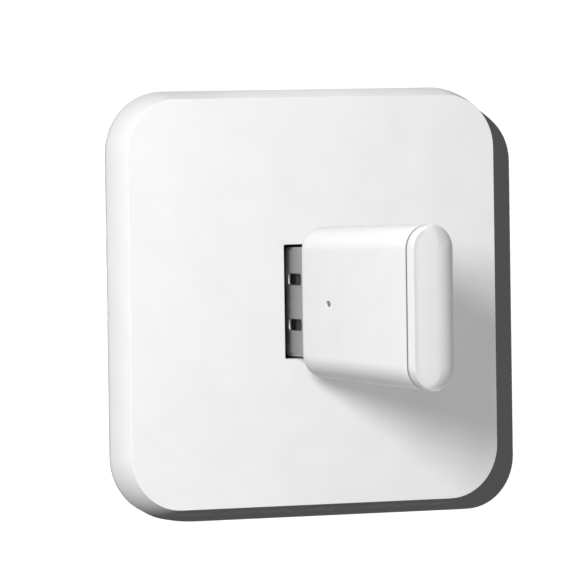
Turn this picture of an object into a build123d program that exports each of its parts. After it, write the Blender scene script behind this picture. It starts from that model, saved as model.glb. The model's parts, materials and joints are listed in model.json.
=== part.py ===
from build123d import *
import os
from math import sqrt

# A radio repeater stick, plugged into a flat mains adapter for a recessed round wall socket.
# Millimetres. The origin is the middle of the plate's rear face, which rests on the wall socket.
# -Y points out of the wall, +Z is up, and a depth is a distance out of the wall along -Y.

# Wall plate
plate_side = 45.0
plate_corner_radius = 5.9
plate_thickness = 5.3
flare = 0.87
flare_depth = 3.7
plate_front_round = 0.4
plate_waist_round = 1.4
plate_rear_round = 1.0
front_wall = 1.7
side_wall = 1.9
flange_thickness = 1.6
cover_fit = 0.1

# Weld pegs that join cover and base, and the pillars that hold the board down
peg_inset = 3.9
peg_diameter = 2.0
peg_shoulder = 3.4
peg_short = 0.3
pillar_diameter = 2.4
pillar_inset = 1.6

# Round cup that fills the socket's recess
cup_diameter = 36.5
cup_wall = 1.8
cup_floor = 2.0
cup_floor_round = 1.2
groove_width = 5.4
groove_depth = 2.1
recess_width = 7.5
recess_depth = 2.35
groove_wall = 1.4

# Contact pins and their springs
pin_diameter = 4.8
pin_length = 19.0
pin_spacing = 19.0
pin_tip_round = 1.8
pin_shank_diameter = 4.2
pin_boss_diameter = 8.0
pin_boss_height = 1.2
pin_flange_diameter = 6.4
pin_flange_thickness = 0.7
leaf_thickness = 0.25
leaf_width = 2.6
leaf_length = 4.0

# Power supply board
board_thickness = 1.6
board_side_gap = 0.25
room_behind_board = 3.4
hole_gap = 0.1
lead_diameter = 0.6
lead_stub = 1.0
seat_gap = 0.05

# Upright port that takes the stick's plug
port_x = -1.1
port_length = 14.0
port_width = 13.1
port_height = 5.75
port_sheet = 0.3
port_setback = 0.8
port_fit = 0.1
opening_gap = 0.4
tongue_thickness = 1.6
tongue_setback = 1.2
tongue_gap = 0.1
port_block_length = 1.6
contact_width = 1.0
contact_thickness = 0.15
contact_pitch_inner = 2.0
contact_pitch_outer = 7.0
port_spring_width = 1.4
port_spring_length = 5.0
port_spring_slit = 0.25

# Transformer
transformer_gap = 0.5
core_wall_gap = 1.1
core_length = 12.6
core_height = 4.2
core_side_leg = 1.4
core_back = 1.5
core_window = 1.7
bobbin_gap = 0.05
bobbin_wall = 0.4
bobbin_flange = 0.6
bobbin_flange_height = 8.2
winding_side_gap = 0.25
winding_height = 7.2
transformer_stand = 0.6

# Round parts on the board
can_diameter = 6.3
can_height = 11.0
can_gap_to_port = 3.9
can_gap_to_pillar = 0.5
can_top_round = 0.5
can_groove_height = 1.6
can_groove_depth = 0.35
can_lead_pitch = 2.5
output_can_height = 8.5
output_can_gap = 1.35
output_can_wall_gap = 0.3
resistor_diameter = 2.4
resistor_length = 6.0
resistor_stand = 0.8
resistor_wall_gap = 0.4
choke_diameter = 5.6
choke_height = 6.0
choke_flange = 0.9
choke_waist_diameter = 2.8
choke_winding_diameter = 5.0
choke_wall_gap = 0.45
choke_shift = 5.6
disc_diameter = 6.4
disc_thickness = 2.6
disc_gap_to_port = 2.3
disc_gap_to_pillar = 0.3
disc_stand = 0.5

# Flat parts behind the board
bridge_length = 4.8
bridge_width = 4.0
bridge_height = 2.3
chip_length = 4.9
chip_width = 3.9
chip_height = 1.5
diode_length = 4.3
diode_width = 2.6
diode_height = 2.2
chip_row_inset = 5.9
controller_row = 5.9
chip_gap_to_pillar = 0.6
small_chip_length = 2.0
small_chip_width = 1.25
small_chip_height = 0.6
small_chip_spread = 1.8
small_chip_lead_gap = 1.15
small_chip_row_gap = 2.0

# Plug of the stick
plug_width = 12.0
plug_thickness = 4.5
plug_length = 12.0
plug_sheet = 0.3
plug_corner = 0.4
plug_embed = 3.9
plug_exposed = 3.9
window_from_plate = 1.75
window_length = 3.0
window_height = 1.2
window_pitch = 5.0
window_corner = 0.3
plug_block_thickness = 1.75
plug_contact_gap = 0.1

# Stick housing
stick_thickness = 5.2
stick_height_plug_end = 16.55
stick_height_cap_end = 17.7
stick_length = 25.4
cap_band = 1.95
stick_wall = 0.7
stick_end_wall = 1.0
stick_end_round = 0.3
cap_end_round = 0.45
cap_skirt_length = 1.8
cap_skirt_wall = 0.6
cap_fit = 0.05
plug_fit = 0.05
rail_grip = 0.6

# Radio board and what is on it
radio_board_thickness = 0.8
radio_board_width = 13.2
radio_board_cap_gap = 1.3
can_shield_length = 9.0
can_shield_width = 11.0
can_shield_height = 1.5
can_shield_sheet = 0.2
can_shield_gap = 0.6
radio_chip_side = 5.0
radio_chip_height = 0.8
crystal_length = 2.5
crystal_width = 2.0
crystal_height = 0.6
part_gap = 0.8
antenna_length = 7.0
antenna_width = 2.0
antenna_height = 0.9
antenna_edge_gap = 0.8
regulator_length = 2.9
regulator_width = 1.6
regulator_height = 1.0
led_length = 1.6
led_width = 0.8
led_height = 0.6
tiny_chip_length = 1.0
tiny_chip_width = 0.5
tiny_chip_height = 0.45
memory_chip_side = 4.0

# Reset switch behind the pin hole
pin_hole_from_plug_end = 6.8
pin_hole_diameter = 0.65
switch_length = 3.0
switch_width = 3.6
switch_height = 0.9
switch_cavity_diameter = 2.3
switch_cavity_depth = 0.5
switch_cover = 0.15
plunger_diameter = 1.4
plunger_flange_diameter = 2.0
plunger_flange = 0.18
plunger_proud = 0.4
plunger_running_gap = 0.03
plunger_rest_gap = 0.01
dome_thickness = 0.08
dome_diameter = 2.1

# Places worked out from the sizes
waist_depth = plate_thickness - flare_depth
waist_side = plate_side + 2 * flare
waist_corner_radius = plate_corner_radius + flare
cavity_side = plate_side - 2 * side_wall
cavity_corner_radius = max(plate_corner_radius - side_wall, 0.5)
inner_front = plate_thickness - front_wall
flange_side = cavity_side - 2 * cover_fit
flange_corner_radius = cavity_corner_radius - cover_fit / 2
peg_place = flange_side / 2 - peg_inset

port_mouth = plate_thickness - port_setback
board_front = port_mouth - port_length
board_back = board_front - board_thickness
cup_inner_floor = board_back - room_behind_board
cup_bottom = cup_inner_floor - cup_floor
cup_radius = cup_diameter / 2
cup_inner_radius = cup_radius - cup_wall
board_radius = cup_inner_radius - board_side_gap
pillar_place = (board_radius - pillar_inset) / sqrt(2)
boss_top = cup_inner_floor + pin_boss_height
groove_face = cup_radius - groove_depth - groove_wall
recess_face = cup_radius - recess_depth - groove_wall
port_half_height = port_height / 2
port_half_width = port_width / 2
port_inner_height = port_height - 2 * port_sheet
port_inner_width = port_width - 2 * port_sheet
contact_places = [(n, z) for n in (-1, 1) for z in (contact_pitch_inner / 2, contact_pitch_outer / 2)]
contact_heights = sorted(side * z for side, z in contact_places)

stick_end = plate_thickness + plug_exposed
stick_seam = stick_end + stick_length
stick_tip = stick_seam + cap_band
plug_tip = stick_end - plug_length
plug_rear = stick_end + plug_embed
plug_inner_thickness = plug_thickness - 2 * plug_sheet
plug_inner_width = plug_width - 2 * plug_sheet
plug_block_face = port_x - plug_inner_thickness / 2 + plug_block_thickness
radio_face = plug_block_face + contact_thickness
tongue_face = port_x + plug_inner_thickness / 2 - tongue_gap - tongue_thickness
switch_depth = stick_end + pin_hole_from_plug_end
switch_top = radio_face - switch_height
plunger_top = switch_top - switch_cover - plunger_proud
dome_foot = switch_top + switch_cavity_depth
plunger_flange_top = switch_top + plunger_rest_gap

input_can_x = port_x + port_half_height + can_gap_to_port + can_diameter / 2
input_can_z = pillar_place - (pillar_diameter + can_diameter) / 2 - can_gap_to_pillar
output_can_diameter = recess_face - output_can_wall_gap - port_half_width - output_can_gap
output_can_z = port_half_width + output_can_gap + output_can_diameter / 2
resistor_x = groove_face - resistor_wall_gap - resistor_diameter / 2
choke_x = port_x + choke_shift
choke_z = choke_diameter / 2 + choke_wall_gap - recess_face
disc_x = (pillar_diameter + disc_diameter) / 2 + disc_gap_to_pillar - pillar_place
disc_z = -(port_half_width + disc_gap_to_port + disc_thickness / 2)
transformer_side = port_x - port_half_height - transformer_gap
core_width = transformer_side + groove_face - core_wall_gap
core_middle_leg = core_width - 2 * core_side_leg - 2 * core_window
transformer_x = transformer_side - core_width / 2
core_middle = board_front + transformer_stand + bobbin_flange_height / 2
can_places = [(input_can_x, input_can_z), (input_can_x, -input_can_z)]
diagonals = [(sx, sz) for sx in (-1, 1) for sz in (-1, 1)]
pillar_spots = [(sx * pillar_place, sz * pillar_place) for sx, sz in diagonals]
peg_spots = [(sx * peg_place, sz * peg_place) for sx, sz in diagonals]


def out_of_wall(depth):
    # The plane at this depth, with its x along X, its y along Z and its normal out of the wall
    return Plane.XZ.offset(depth)


def facing_left(x):
    # The plane at this x, with its x along -Y (out of the wall), its y along Z, normal -X
    return Plane(origin=(x, 0, 0), x_dir=(0, -1, 0), z_dir=(-1, 0, 0))


def grooved_circle(radius, grow):
    # Cup outline: a circle with guide grooves at its sides and clip recesses above and below
    Circle(radius)
    with Locations((-cup_radius, 0), (cup_radius, 0)):
        Rectangle(2 * (groove_depth + grow), groove_width + 2 * grow, mode=Mode.SUBTRACT)
    with Locations((0, -cup_radius), (0, cup_radius)):
        Rectangle(recess_width + 2 * grow, 2 * (recess_depth + grow), mode=Mode.SUBTRACT)


def stadium(height, thickness):
    # Stick section: straight broad sides with a full round at the top and the bottom
    with Locations((port_x, 0)):
        SlotOverall(height, thickness, rotation=90)


def stick_height(depth):
    # The stick is a little higher towards its cap
    share = (depth - stick_end) / stick_length
    return stick_height_plug_end + share * (stick_height_cap_end - stick_height_plug_end)


def edges_at_depth(piece, depth):
    return piece.edges().filter_by_position(Axis.Y, -depth - 0.01, -depth + 0.01)


def save(piece, name):
    piece.part.label = name
    export_step(piece.part, f"parts/{name}.step")


os.makedirs("parts", exist_ok=True)

# Front cover: flared plate, open at the back, with the port opening, weld pegs and board pillars
with BuildPart() as front_cover:
    with BuildSketch(out_of_wall(0)):
        RectangleRounded(waist_side, waist_side, waist_corner_radius)
    extrude(amount=waist_depth)
    with BuildSketch(out_of_wall(waist_depth)):
        RectangleRounded(waist_side, waist_side, waist_corner_radius)
    with BuildSketch(out_of_wall(plate_thickness)):
        RectangleRounded(plate_side, plate_side, plate_corner_radius)
    loft(ruled=True)
    fillet(edges_at_depth(front_cover, waist_depth), plate_waist_round)
    fillet(front_cover.faces().sort_by(Axis.Y)[0].edges(), plate_front_round)
    fillet(front_cover.faces().sort_by(Axis.Y)[-1].edges(), plate_rear_round)
    with BuildSketch(out_of_wall(0)):
        RectangleRounded(cavity_side, cavity_side, cavity_corner_radius)
    extrude(amount=inner_front, mode=Mode.SUBTRACT)
    with BuildSketch(out_of_wall(flange_thickness)):
        with Locations(*peg_spots):
            Circle(peg_shoulder / 2)
    extrude(amount=inner_front - flange_thickness)
    with BuildSketch(out_of_wall(peg_short)):
        with Locations(*peg_spots):
            Circle(peg_diameter / 2)
    extrude(amount=inner_front - peg_short)
    with BuildSketch(out_of_wall(board_front)):
        with Locations(*pillar_spots):
            Circle(pillar_diameter / 2)
    extrude(amount=inner_front - board_front)
    with BuildSketch(out_of_wall(plate_thickness)):
        with Locations((port_x, 0)):
            RectangleRounded(
                plug_thickness + 2 * opening_gap, plug_width + 2 * opening_gap, plug_corner + opening_gap
            )
    extrude(amount=-front_wall, mode=Mode.SUBTRACT)
    with BuildSketch(out_of_wall(inner_front)):
        with Locations((port_x, 0)):
            Rectangle(port_height + 2 * port_fit, port_width + 2 * port_fit)
    extrude(amount=port_mouth - inner_front, mode=Mode.SUBTRACT)
save(front_cover, "front_cover")

# Rear base: flange inside the cover, grooved cup, pin bosses and the posts that the board rests on
with BuildPart() as rear_base:
    with BuildSketch(out_of_wall(cup_bottom)):
        grooved_circle(cup_radius, 0)
    extrude(amount=-cup_bottom)
    fillet(rear_base.faces().sort_by(Axis.Y)[-1].edges(), cup_floor_round)
    with BuildSketch(out_of_wall(0)):
        RectangleRounded(flange_side, flange_side, flange_corner_radius)
    extrude(amount=flange_thickness)
    with BuildSketch(out_of_wall(cup_inner_floor)):
        grooved_circle(cup_inner_radius, groove_wall)
    extrude(amount=flange_thickness - cup_inner_floor, mode=Mode.SUBTRACT)
    with BuildSketch(out_of_wall(cup_inner_floor)):
        with Locations(*pillar_spots):
            Circle(pillar_diameter / 2)
    extrude(amount=board_back - cup_inner_floor)
    with BuildSketch(out_of_wall(cup_inner_floor)):
        with Locations((-pin_spacing / 2, 0), (pin_spacing / 2, 0)):
            Circle(pin_boss_diameter / 2)
    extrude(amount=pin_boss_height)
    with BuildSketch(out_of_wall(boss_top)):
        with Locations((-pin_spacing / 2, 0), (pin_spacing / 2, 0)):
            Circle(pin_shank_diameter / 2)
    extrude(amount=cup_bottom - boss_top, mode=Mode.SUBTRACT)
    with BuildSketch(out_of_wall(flange_thickness)):
        with Locations(*peg_spots):
            Circle(peg_diameter / 2)
    extrude(amount=-flange_thickness, mode=Mode.SUBTRACT)
save(rear_base, "rear_base")

# Contact pins, each with a flange that seats on its boss, and the leaf that joins it to the board
for name, side in (("live", -1), ("neutral", 1)):
    pin_x = side * pin_spacing / 2
    leaf_touch = boss_top + pin_flange_thickness
    with BuildPart() as pin:
        with BuildSketch(out_of_wall(cup_bottom - pin_length)):
            with Locations((pin_x, 0)):
                Circle(pin_diameter / 2)
        extrude(amount=pin_length)
        fillet(pin.faces().sort_by(Axis.Y)[-1].edges(), pin_tip_round)
        with BuildSketch(out_of_wall(cup_bottom)):
            with Locations((pin_x, 0)):
                Circle(pin_shank_diameter / 2)
        extrude(amount=boss_top - cup_bottom)
        with BuildSketch(out_of_wall(boss_top)):
            with Locations((pin_x, 0)):
                Circle(pin_flange_diameter / 2)
        extrude(amount=pin_flange_thickness)
    save(pin, f"{name}_pin")

    with BuildPart() as leaf:
        with BuildSketch(Plane.XY.offset(-leaf_width / 2)):
            with BuildLine():
                Polyline(
                    (pin_x - leaf_length / 2, leaf_thickness / 2 - board_back),
                    (pin_x - leaf_length / 8, leaf_thickness / 2 - board_back),
                    (pin_x + leaf_length / 8, -leaf_touch - leaf_thickness / 2),
                    (pin_x + leaf_length / 2, -leaf_touch - leaf_thickness / 2),
                )
            trace(line_width=leaf_thickness)
        extrude(amount=leaf_width)
    save(leaf, f"{name}_contact_spring")

# Power supply board: round like the cup, with a hole for every lead that passes through it
can_leads = [(x + side * can_lead_pitch / 2, z) for x, z in can_places for side in (-1, 1)]
output_leads = [(port_x + side * can_lead_pitch / 2, output_can_z) for side in (-1, 1)]
choke_leads = [(choke_x + side * choke_waist_diameter / 2, choke_z) for side in (-1, 1)]
disc_leads = [(disc_x + side * disc_diameter / 4, disc_z) for side in (-1, 1)]
resistor_leads = [(resistor_x, 0)]
lead_places = can_leads + output_leads + choke_leads + disc_leads + resistor_leads
contact_x = tongue_face - contact_thickness / 2

with BuildPart() as main_board:
    with BuildSketch(out_of_wall(board_back)):
        grooved_circle(board_radius, groove_wall + board_side_gap)
        with Locations(*lead_places):
            Circle(lead_diameter / 2 + hole_gap, mode=Mode.SUBTRACT)
        with Locations(*[(contact_x, z) for z in contact_heights]):
            Rectangle(contact_thickness + 2 * hole_gap, contact_width + 2 * hole_gap, mode=Mode.SUBTRACT)
    extrude(amount=board_thickness)
save(main_board, "main_board")

# Transformer core: a ferrite ring with a middle leg, lying level above the board
with BuildPart() as transformer_core:
    with BuildSketch(out_of_wall(core_middle - core_height / 2)):
        with Locations((transformer_x, 0)):
            Rectangle(core_width, core_length)
            Rectangle(core_width - 2 * core_side_leg, core_length - 2 * core_back, mode=Mode.SUBTRACT)
            Rectangle(core_middle_leg, core_length)
    extrude(amount=core_height)
save(transformer_core, "transformer_core")

# Bobbin: a square tube on the middle leg, with a flange at each end that stands on the board
bobbin_hole_width = core_middle_leg + 2 * bobbin_gap
bobbin_hole_height = core_height + 2 * bobbin_gap
bobbin_tube_width = bobbin_hole_width + 2 * bobbin_wall
bobbin_tube_height = bobbin_hole_height + 2 * bobbin_wall
bobbin_length = core_length - 2 * core_back - 2 * bobbin_gap
bobbin_flange_width = core_width - 2 * core_side_leg - 2 * bobbin_gap
flange_starts = (-bobbin_length / 2, bobbin_length / 2 - bobbin_flange)
with BuildPart() as transformer_bobbin:
    with BuildSketch(Plane.XY.offset(-bobbin_length / 2)):
        with Locations((transformer_x, -core_middle)):
            Rectangle(bobbin_tube_width, bobbin_tube_height)
    extrude(amount=bobbin_length)
    for start in flange_starts:
        with BuildSketch(Plane.XY.offset(start)):
            with Locations((transformer_x, -core_middle)):
                Rectangle(bobbin_flange_width, bobbin_flange_height)
            with Locations((transformer_x, -board_front)):
                Rectangle(
                    bobbin_flange_width, transformer_stand + bobbin_flange, align=(Align.CENTER, Align.MAX)
                )
        extrude(amount=bobbin_flange)
    with BuildSketch(Plane.XY.offset(-bobbin_length / 2)):
        with Locations((transformer_x, -core_middle)):
            Rectangle(bobbin_hole_width, bobbin_hole_height)
    extrude(amount=bobbin_length, mode=Mode.SUBTRACT)
save(transformer_bobbin, "transformer_bobbin")

# Taped winding round the bobbin's tube, between its flanges
winding_length = bobbin_length - 2 * bobbin_flange
winding_width = bobbin_flange_width - 2 * winding_side_gap
with BuildPart() as transformer_winding:
    with BuildSketch(Plane.XY.offset(-winding_length / 2)):
        with Locations((transformer_x, -core_middle)):
            RectangleRounded(winding_width, winding_height, bobbin_wall)
            Rectangle(bobbin_tube_width, bobbin_tube_height, mode=Mode.SUBTRACT)
    extrude(amount=winding_length)
save(transformer_winding, "transformer_winding")


def capacitor_cans(places, diameter, height):
    # Upright cans with a crimp groove near the foot and two leads through the board
    foot = board_front + seat_gap
    with BuildPart() as cans:
        with BuildSketch(out_of_wall(foot)):
            with Locations(*places):
                Circle(diameter / 2)
        extrude(amount=height)
        fillet(edges_at_depth(cans, foot + height), can_top_round)
        with BuildSketch(out_of_wall(foot + can_groove_height)):
            with Locations(*places):
                Circle(diameter / 2)
                Circle(diameter / 2 - can_groove_depth, mode=Mode.SUBTRACT)
        extrude(amount=can_groove_depth, mode=Mode.SUBTRACT)
        with BuildSketch(out_of_wall(board_back - lead_stub)):
            with Locations(*places):
                with GridLocations(can_lead_pitch, 1, 2, 1):
                    Circle(lead_diameter / 2)
        extrude(amount=foot + can_groove_height - board_back + lead_stub)
    return cans


save(capacitor_cans(can_places, can_diameter, can_height), "input_capacitors")
output_place = [(port_x, output_can_z)]
save(capacitor_cans(output_place, output_can_diameter, output_can_height), "output_capacitor")

# Fusible resistor: an upright barrel between the two input capacitors
with BuildPart() as fusible_resistor:
    with BuildSketch(out_of_wall(board_front + resistor_stand)):
        with Locations((resistor_x, 0)):
            Circle(resistor_diameter / 2)
    extrude(amount=resistor_length)
    fillet(fusible_resistor.edges(), resistor_diameter / 5)
    with BuildSketch(out_of_wall(board_back - lead_stub)):
        with Locations((resistor_x, 0)):
            Circle(lead_diameter / 2)
    extrude(amount=board_front + resistor_stand + resistor_length / 2 - board_back + lead_stub)
save(fusible_resistor, "fusible_resistor")

# Filter choke: a ferrite spool with its winding, standing on the board
choke_foot = board_front + seat_gap
with BuildPart() as choke_core:
    with BuildSketch(out_of_wall(choke_foot)):
        with Locations((choke_x, choke_z)):
            Circle(choke_diameter / 2)
    extrude(amount=choke_flange)
    with BuildSketch(out_of_wall(choke_foot + choke_height - choke_flange)):
        with Locations((choke_x, choke_z)):
            Circle(choke_diameter / 2)
    extrude(amount=choke_flange)
    with BuildSketch(out_of_wall(choke_foot)):
        with Locations((choke_x, choke_z)):
            Circle(choke_waist_diameter / 2)
    extrude(amount=choke_height)
    with BuildSketch(out_of_wall(board_back - lead_stub)):
        with Locations(*choke_leads):
            Circle(lead_diameter / 2)
    extrude(amount=choke_foot - board_back + lead_stub)
save(choke_core, "choke_core")

with BuildPart() as choke_winding:
    with BuildSketch(out_of_wall(choke_foot + choke_flange)):
        with Locations((choke_x, choke_z)):
            Circle(choke_winding_diameter / 2)
            Circle(choke_waist_diameter / 2, mode=Mode.SUBTRACT)
    extrude(amount=choke_height - 2 * choke_flange)
save(choke_winding, "choke_winding")

# Disc capacitor on edge, from the mains side to the output side
disc_middle = board_front + disc_stand + disc_diameter / 2
with BuildPart() as y_capacitor:
    with BuildSketch(Plane.XY.offset(disc_z - disc_thickness / 2)):
        with Locations((disc_x, -disc_middle)):
            Circle(disc_diameter / 2)
    extrude(amount=disc_thickness)
    fillet(y_capacitor.edges(), disc_thickness / 4)
    with BuildSketch(out_of_wall(board_back - lead_stub)):
        with Locations(*disc_leads):
            Circle(lead_diameter / 2)
    extrude(amount=disc_middle - board_back + lead_stub)
save(y_capacitor, "y_capacitor")


def flat_chip(plane, x, z, length, width, height, feet, foot_width):
    # A moulded chip lying on the plane, with a row of flat feet along both long sides
    with BuildPart() as chip:
        with BuildSketch(plane):
            with Locations((x, z)):
                Rectangle(length, width)
        extrude(amount=height)
        chamfer(chip.faces().sort_by(Axis(plane.origin, plane.z_dir))[-1].edges(), height / 8)
        with BuildSketch(plane):
            with Locations((x, z)):
                with GridLocations(length / feet, width, feet, 2):
                    Rectangle(foot_width, 2 * foot_width)
        extrude(amount=height / 6)
    return chip


# Parts soldered behind the board: bridge rectifier, controller, output diode and small chips
behind = Plane(origin=(0, -board_back, 0), x_dir=(-1, 0, 0), z_dir=(0, 1, 0))
chip_edge = pillar_place - pillar_diameter / 2 - chip_gap_to_pillar
chip_row = recess_face - chip_row_inset
bridge_x = bridge_length / 2 - chip_edge
controller_x = chip_edge - chip_length / 2
diode_x = chip_edge - diode_length / 2
bridge = flat_chip(behind, bridge_x, chip_row, bridge_length, bridge_width, bridge_height, 2, 0.6)
controller = flat_chip(behind, controller_x, -controller_row, chip_length, chip_width, chip_height, 4, 0.4)
diode = flat_chip(behind, diode_x, chip_row, diode_length, diode_width, diode_height, 1, 1.4)
save(bridge, "bridge_rectifier")
save(controller, "controller_chip")
save(diode, "output_diode")

small_chip_rows = [choke_z + small_chip_lead_gap + n * small_chip_row_gap for n in range(2)]
small_chip_places = [(side * small_chip_spread - choke_x, z) for side in (-1, 1) for z in small_chip_rows]
with BuildPart() as board_chip_parts:
    with BuildSketch(behind):
        with Locations(*small_chip_places):
            Rectangle(small_chip_length, small_chip_width)
    extrude(amount=small_chip_height)
save(board_chip_parts, "board_chip_parts")

# Port shell: a folded sheet tube round the port, with two spring fingers cut in each broad side
port_fingers = [(port_mouth - port_spring_length / 2 - 1, side * port_width / 4) for side in (-1, 1)]
with BuildPart() as port_shell:
    with BuildSketch(out_of_wall(board_front)):
        with Locations((port_x, 0)):
            Rectangle(port_height, port_width)
            Rectangle(port_inner_height, port_inner_width, mode=Mode.SUBTRACT)
    extrude(amount=port_length)
    with BuildSketch(facing_left(port_x)):
        with Locations(*port_fingers):
            Rectangle(port_spring_length, port_spring_width + 2 * port_spring_slit)
        with Locations(*[(depth + port_spring_slit, z) for depth, z in port_fingers]):
            Rectangle(port_spring_length, port_spring_width, mode=Mode.SUBTRACT)
    extrude(amount=port_half_height, both=True, mode=Mode.SUBTRACT)
save(port_shell, "port_shell")

# Port insulator: the block at the port's foot and the tongue that carries the contacts
with BuildPart() as port_insulator:
    with BuildSketch(out_of_wall(board_front)):
        with Locations((port_x, 0)):
            Rectangle(port_inner_height - 2 * seat_gap, port_inner_width - 2 * seat_gap)
    extrude(amount=port_block_length)
    with BuildSketch(out_of_wall(board_front)):
        with Locations((tongue_face, 0)):
            Rectangle(tongue_thickness, plug_inner_width - 4 * plug_fit, align=(Align.MIN, Align.CENTER))
    extrude(amount=port_length - tongue_setback)
    with BuildSketch(out_of_wall(board_front)):
        with Locations(*[(tongue_face, z) for z in contact_heights]):
            Rectangle(contact_thickness, contact_width, align=(Align.MAX, Align.CENTER))
    extrude(amount=port_block_length, mode=Mode.SUBTRACT)
save(port_insulator, "port_insulator")

# Port contacts: straight strips on the tongue that run through the block and the board
with BuildPart() as port_contacts:
    with BuildSketch(out_of_wall(board_back - lead_stub)):
        with Locations(*[(tongue_face, z) for z in contact_heights]):
            Rectangle(contact_thickness, contact_width, align=(Align.MAX, Align.CENTER))
    extrude(amount=port_mouth - 2 * tongue_setback - board_back + lead_stub)
save(port_contacts, "port_contacts")

# Plug shell: a folded sheet tube with two latch windows in each broad side
window_depth = plate_thickness + window_from_plate
with BuildPart() as plug_shell:
    with BuildSketch(out_of_wall(plug_tip)):
        with Locations((port_x, 0)):
            RectangleRounded(plug_thickness, plug_width, plug_corner)
            Rectangle(plug_inner_thickness, plug_inner_width, mode=Mode.SUBTRACT)
    extrude(amount=plug_rear - plug_tip)
    chamfer(plug_shell.faces().sort_by(Axis.Y)[-1].outer_wire().edges(), plug_sheet / 2)
    with BuildSketch(facing_left(port_x)):
        with Locations((window_depth, -window_pitch / 2), (window_depth, window_pitch / 2)):
            RectangleRounded(window_length, window_height, window_corner)
    extrude(amount=plug_thickness, both=True, mode=Mode.SUBTRACT)
save(plug_shell, "plug_shell")

# Plug insulator: the block on one side of the shell, and a stop that fills the shell's rear end
with BuildPart() as plug_insulator:
    with BuildSketch(out_of_wall(plug_tip + plug_sheet)):
        with Locations((plug_block_face, 0)):
            Rectangle(
                plug_block_thickness - seat_gap,
                plug_inner_width - 2 * seat_gap,
                align=(Align.MAX, Align.CENTER),
            )
    extrude(amount=plug_rear - plug_tip - plug_sheet)
    with BuildSketch(out_of_wall(stick_end)):
        with Locations((port_x, 0)):
            Rectangle(plug_inner_thickness - 2 * seat_gap, plug_inner_width - 2 * seat_gap)
    extrude(amount=plug_embed - 2 * plug_contact_gap)
    with BuildSketch(out_of_wall(stick_end)):
        with Locations(*[(plug_block_face, z) for z in contact_heights]):
            Rectangle(contact_thickness, contact_width, align=(Align.MIN, Align.CENTER))
    extrude(amount=plug_embed, mode=Mode.SUBTRACT)
save(plug_insulator, "plug_insulator")

# Plug contacts: straight strips on the block's face that run back onto the radio board
radio_board_start = plug_rear + plug_contact_gap
solder_tail = 1.0
with BuildPart() as plug_contacts:
    with BuildSketch(out_of_wall(plug_tip + 1)):
        with Locations(*[(plug_block_face, z) for z in contact_heights]):
            Rectangle(contact_thickness, contact_width, align=(Align.MIN, Align.CENTER))
    extrude(amount=radio_board_start + solder_tail - plug_tip - 1)
save(plug_contacts, "plug_contacts")

# Stick housing: open at the cap end, with the plug's pocket, board rails and the pin hole
inner_thickness = stick_thickness - 2 * stick_wall
board_half_width = radio_board_width / 2
rail_inner = board_half_width - rail_grip
rail_outer = stick_height_plug_end / 2 - stick_wall - rail_grip / 2
rail_middle = (rail_inner + rail_outer) / 2
shield_start = switch_depth + switch_length / 2 + can_shield_gap
radio_board_end = stick_seam - radio_board_cap_gap
with BuildPart() as dongle_body:
    for depth in (stick_end, stick_seam):
        with BuildSketch(out_of_wall(depth)):
            stadium(stick_height(depth), stick_thickness)
    loft(ruled=True)
    fillet(edges_at_depth(dongle_body, stick_end), stick_end_round)
    for depth in (stick_end + stick_end_wall, stick_seam):
        with BuildSketch(out_of_wall(depth)):
            stadium(stick_height(depth) - 2 * stick_wall, inner_thickness)
    loft(ruled=True, mode=Mode.SUBTRACT)
    with BuildSketch(out_of_wall(shield_start)):
        with Locations((port_x, rail_middle), (port_x, -rail_middle)):
            Rectangle(inner_thickness - rail_grip / 2, rail_outer - rail_inner)
    extrude(amount=can_shield_length)
    with BuildSketch(out_of_wall(shield_start)):
        with Locations((radio_face - plug_fit, 0)):
            Rectangle(
                radio_board_thickness + 2 * plug_fit,
                radio_board_width + 2 * plug_fit,
                align=(Align.MIN, Align.CENTER),
            )
    extrude(amount=can_shield_length, mode=Mode.SUBTRACT)
    with BuildSketch(out_of_wall(stick_end)):
        with Locations((port_x, 0)):
            Rectangle(plug_thickness + 2 * plug_fit, plug_width + 2 * plug_fit)
    extrude(amount=plug_embed + plug_fit, mode=Mode.SUBTRACT)
    with BuildSketch(facing_left(port_x - plug_inner_thickness / 2)):
        with Locations((switch_depth, 0)):
            Circle(pin_hole_diameter / 2)
    extrude(amount=stick_thickness, mode=Mode.SUBTRACT)
save(dongle_body, "dongle_body")

# Stick cap: carries the taper on to the tip, with a skirt that plugs into the housing
skirt_start = stick_seam - cap_skirt_length
skirt_inset = stick_wall + cap_fit
with BuildPart() as dongle_cap:
    for depth in (stick_seam, stick_tip):
        with BuildSketch(out_of_wall(depth)):
            stadium(stick_height(depth), stick_thickness)
    loft(ruled=True)
    fillet(edges_at_depth(dongle_cap, stick_tip), cap_end_round)
    for depth in (skirt_start, stick_seam):
        with BuildSketch(out_of_wall(depth)):
            stadium(stick_height(depth) - 2 * skirt_inset, stick_thickness - 2 * skirt_inset)
    loft(ruled=True)
    hollow_inset = skirt_inset + cap_skirt_wall
    with BuildSketch(out_of_wall(skirt_start)):
        stadium(stick_height(skirt_start) - 2 * hollow_inset, stick_thickness - 2 * hollow_inset)
    extrude(amount=cap_skirt_length + cap_band / 4, mode=Mode.SUBTRACT)
save(dongle_cap, "dongle_cap")

# Radio board, edge-on in the housing's rails, behind the plug's contacts
with BuildPart() as radio_board:
    with BuildSketch(out_of_wall(radio_board_start)):
        with Locations((radio_face, 0)):
            Rectangle(radio_board_thickness, radio_board_width, align=(Align.MIN, Align.CENTER))
    extrude(amount=radio_board_end - radio_board_start)
save(radio_board, "radio_board")

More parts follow.
